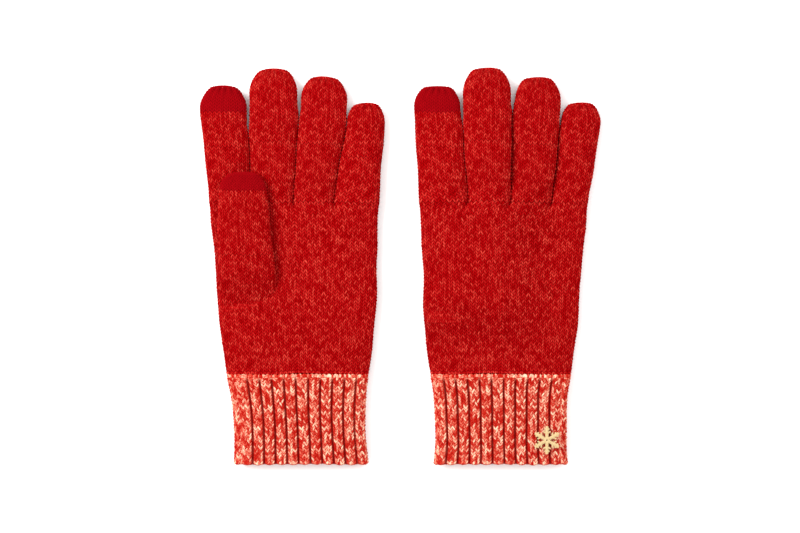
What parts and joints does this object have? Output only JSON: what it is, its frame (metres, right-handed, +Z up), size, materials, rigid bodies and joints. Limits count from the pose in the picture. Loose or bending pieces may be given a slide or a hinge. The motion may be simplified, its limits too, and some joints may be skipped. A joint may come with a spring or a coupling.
{
  "type": "touchscreen gloves",
  "caption": "Pair of knitted wool gloves with ribbed cuffs and conductive touch tips on index and thumb, laid flat, one palm up and one back up, with folding fingers.",
  "frame": {"origin": "middle of the pair's outline, on the table that the gloves lie on", "axes": "+Z up from the table, +Y towards the fingertips, +X from the left-hand glove to the right-hand glove"},
  "size_m": [0.2514, 0.2504, 0.0181],
  "materials": {
    "body_knit": "plain knit in melange red wool",
    "rib_knit": "ribbed knit in coral and cream marl wool",
    "cuff_link": "row of linking stitches in marl wool",
    "touch_knit": "fine plain knit in dark red conductive yarn",
    "embroidery": "cream satin-stitch embroidery"
  },
  "bodies": {
    "left_hand": {"left_hand": "body_knit", "left_index_base": "body_knit", "left_middle_base": "body_knit", "left_ring_base": "body_knit", "left_little_base": "body_knit"},
    "left_cuff": {"left_cuff": "rib_knit", "left_cuff_link_row": "cuff_link"},
    "left_index_middle": {"left_index_middle": "body_knit"},
    "left_index_end": {"left_index_end": "body_knit", "left_index_touch_tip": "touch_knit"},
    "left_middle_middle": {"left_middle_middle": "body_knit"},
    "left_middle_end": {"left_middle_end": "body_knit"},
    "left_ring_middle": {"left_ring_middle": "body_knit"},
    "left_ring_end": {"left_ring_end": "body_knit"},
    "left_little_middle": {"left_little_middle": "body_knit"},
    "left_little_end": {"left_little_end": "body_knit"},
    "left_thumb_base": {"left_thumb_base": "body_knit"},
    "left_thumb_end": {"left_thumb_end": "body_knit", "left_thumb_touch_tip": "touch_knit"},
    "right_hand": {"right_hand": "body_knit", "right_index_base": "body_knit", "right_middle_base": "body_knit", "right_ring_base": "body_knit", "right_little_base": "body_knit"},
    "right_cuff": {"right_cuff": "rib_knit", "right_cuff_link_row": "cuff_link", "right_cuff_motif": "embroidery"},
    "right_index_middle": {"right_index_middle": "body_knit"},
    "right_index_end": {"right_index_end": "body_knit", "right_index_touch_tip": "touch_knit"},
    "right_middle_middle": {"right_middle_middle": "body_knit"},
    "right_middle_end": {"right_middle_end": "body_knit"},
    "right_ring_middle": {"right_ring_middle": "body_knit"},
    "right_ring_end": {"right_ring_end": "body_knit"},
    "right_little_middle": {"right_little_middle": "body_knit"},
    "right_little_end": {"right_little_end": "body_knit"},
    "right_thumb_base": {"right_thumb_base": "body_knit"},
    "right_thumb_end": {"right_thumb_end": "body_knit", "right_thumb_touch_tip": "touch_knit"}
  },
  "joints": [
    {"name": "left_wrist_fold", "type": "hinge", "parent": "left_hand", "child": "left_cuff", "pos_m": [-0.06532, -0.06854, 0.01124], "axis": [-1, 0, 0], "range_deg": [0, 75]},
    {"name": "left_index_middle_joint", "type": "hinge", "parent": "left_hand", "child": "left_index_middle", "pos_m": [-0.1086, 0.06341, 0.01024], "axis": [1, 0, 0], "range_deg": [0, 95]},
    {"name": "left_index_end_joint", "type": "hinge", "parent": "left_index_middle", "child": "left_index_end", "pos_m": [-0.10977, 0.08781, 0.01024], "axis": [1, 0, 0], "range_deg": [0, 75]},
    {"name": "left_middle_middle_joint", "type": "hinge", "parent": "left_hand", "child": "left_middle_middle", "pos_m": [-0.08077, 0.06681, 0.01024], "axis": [1, 0, 0], "range_deg": [0, 95]},
    {"name": "left_middle_end_joint", "type": "hinge", "parent": "left_middle_middle", "child": "left_middle_end", "pos_m": [-0.08044, 0.09381, 0.01024], "axis": [1, 0, 0], "range_deg": [0, 75]},
    {"name": "left_ring_middle_joint", "type": "hinge", "parent": "left_hand", "child": "left_ring_middle", "pos_m": [-0.05296, 0.06531, 0.01024], "axis": [1, 0, 0], "range_deg": [0, 95]},
    {"name": "left_ring_end_joint", "type": "hinge", "parent": "left_ring_middle", "child": "left_ring_end", "pos_m": [-0.05123, 0.09081, 0.01024], "axis": [1, 0, 0], "range_deg": [0, 75]},
    {"name": "left_little_middle_joint", "type": "hinge", "parent": "left_hand", "child": "left_little_middle", "pos_m": [-0.02605, 0.05981, 0.01024], "axis": [1, 0, 0], "range_deg": [0, 95]},
    {"name": "left_little_end_joint", "type": "hinge", "parent": "left_little_middle", "child": "left_little_end", "pos_m": [-0.02414, 0.07981, 0.01024], "axis": [1, 0, 0], "range_deg": [0, 75]},
    {"name": "left_thumb_lift", "type": "hinge", "parent": "left_hand", "child": "left_thumb_base", "pos_m": [-0.09632, -0.01359, 0.01024], "axis": [1, 0, 0], "range_deg": [0, 85]},
    {"name": "left_thumb_fold", "type": "hinge", "parent": "left_thumb_base", "child": "left_thumb_end", "pos_m": [-0.09796, 0.02641, 0.01794], "axis": [1, 0, 0], "range_deg": [0, 80]},
    {"name": "right_wrist_fold", "type": "hinge", "parent": "right_hand", "child": "right_cuff", "pos_m": [0.06348, -0.06854, -0.00006], "axis": [1, 0, 0], "range_deg": [0, 75]},
    {"name": "right_index_middle_joint", "type": "hinge", "parent": "right_hand", "child": "right_index_middle", "pos_m": [0.027, 0.06341, 0.00794], "axis": [-1, 0, 0], "range_deg": [0, 95]},
    {"name": "right_index_end_joint", "type": "hinge", "parent": "right_index_middle", "child": "right_index_end", "pos_m": [0.02552, 0.08743, 0.00366], "axis": [-1, 0, 0], "range_deg": [0, 75]},
    {"name": "right_middle_middle_joint", "type": "hinge", "parent": "right_hand", "child": "right_middle_middle", "pos_m": [0.05607, 0.06681, 0.00794], "axis": [-1, 0, 0], "range_deg": [0, 95]},
    {"name": "right_middle_end_joint", "type": "hinge", "parent": "right_middle_middle", "child": "right_middle_end", "pos_m": [0.05545, 0.09351, 0.00388], "axis": [-1, 0, 0], "range_deg": [0, 75]},
    {"name": "right_ring_middle_joint", "type": "hinge", "parent": "right_hand", "child": "right_ring_middle", "pos_m": [0.08314, 0.06531, 0.00312], "axis": [-1, 0, 0], "range_deg": [0, 95]},
    {"name": "right_ring_end_joint", "type": "hinge", "parent": "right_ring_middle", "child": "right_ring_end", "pos_m": [0.08419, 0.09076, 0.00147], "axis": [-1, 0, 0], "range_deg": [0, 75]},
    {"name": "right_little_middle_joint", "type": "hinge", "parent": "right_hand", "child": "right_little_middle", "pos_m": [0.1085, 0.05981, -0.00006], "axis": [-1, 0, 0], "range_deg": [0, 95]},
    {"name": "right_little_end_joint", "type": "hinge", "parent": "right_little_middle", "child": "right_little_end", "pos_m": [0.11074, 0.07981, -0.00006], "axis": [-1, 0, 0], "range_deg": [0, 75]},
    {"name": "right_thumb_lift", "type": "hinge", "parent": "right_hand", "child": "right_thumb_base", "pos_m": [0.03448, -0.01359, 0.00764], "axis": [-1, 0, 0], "range_deg": [0, 85]},
    {"name": "right_thumb_fold", "type": "hinge", "parent": "right_thumb_base", "child": "right_thumb_end", "pos_m": [0.03339, 0.02641, -0.00006], "axis": [-1, 0, 0], "range_deg": [0, 80]},
    {"name": "right_glove_lift", "type": "slide", "parent": "left_hand", "child": "right_hand", "axis": [0, 0, 1], "range_m": [0, 0.12]}
  ]
}
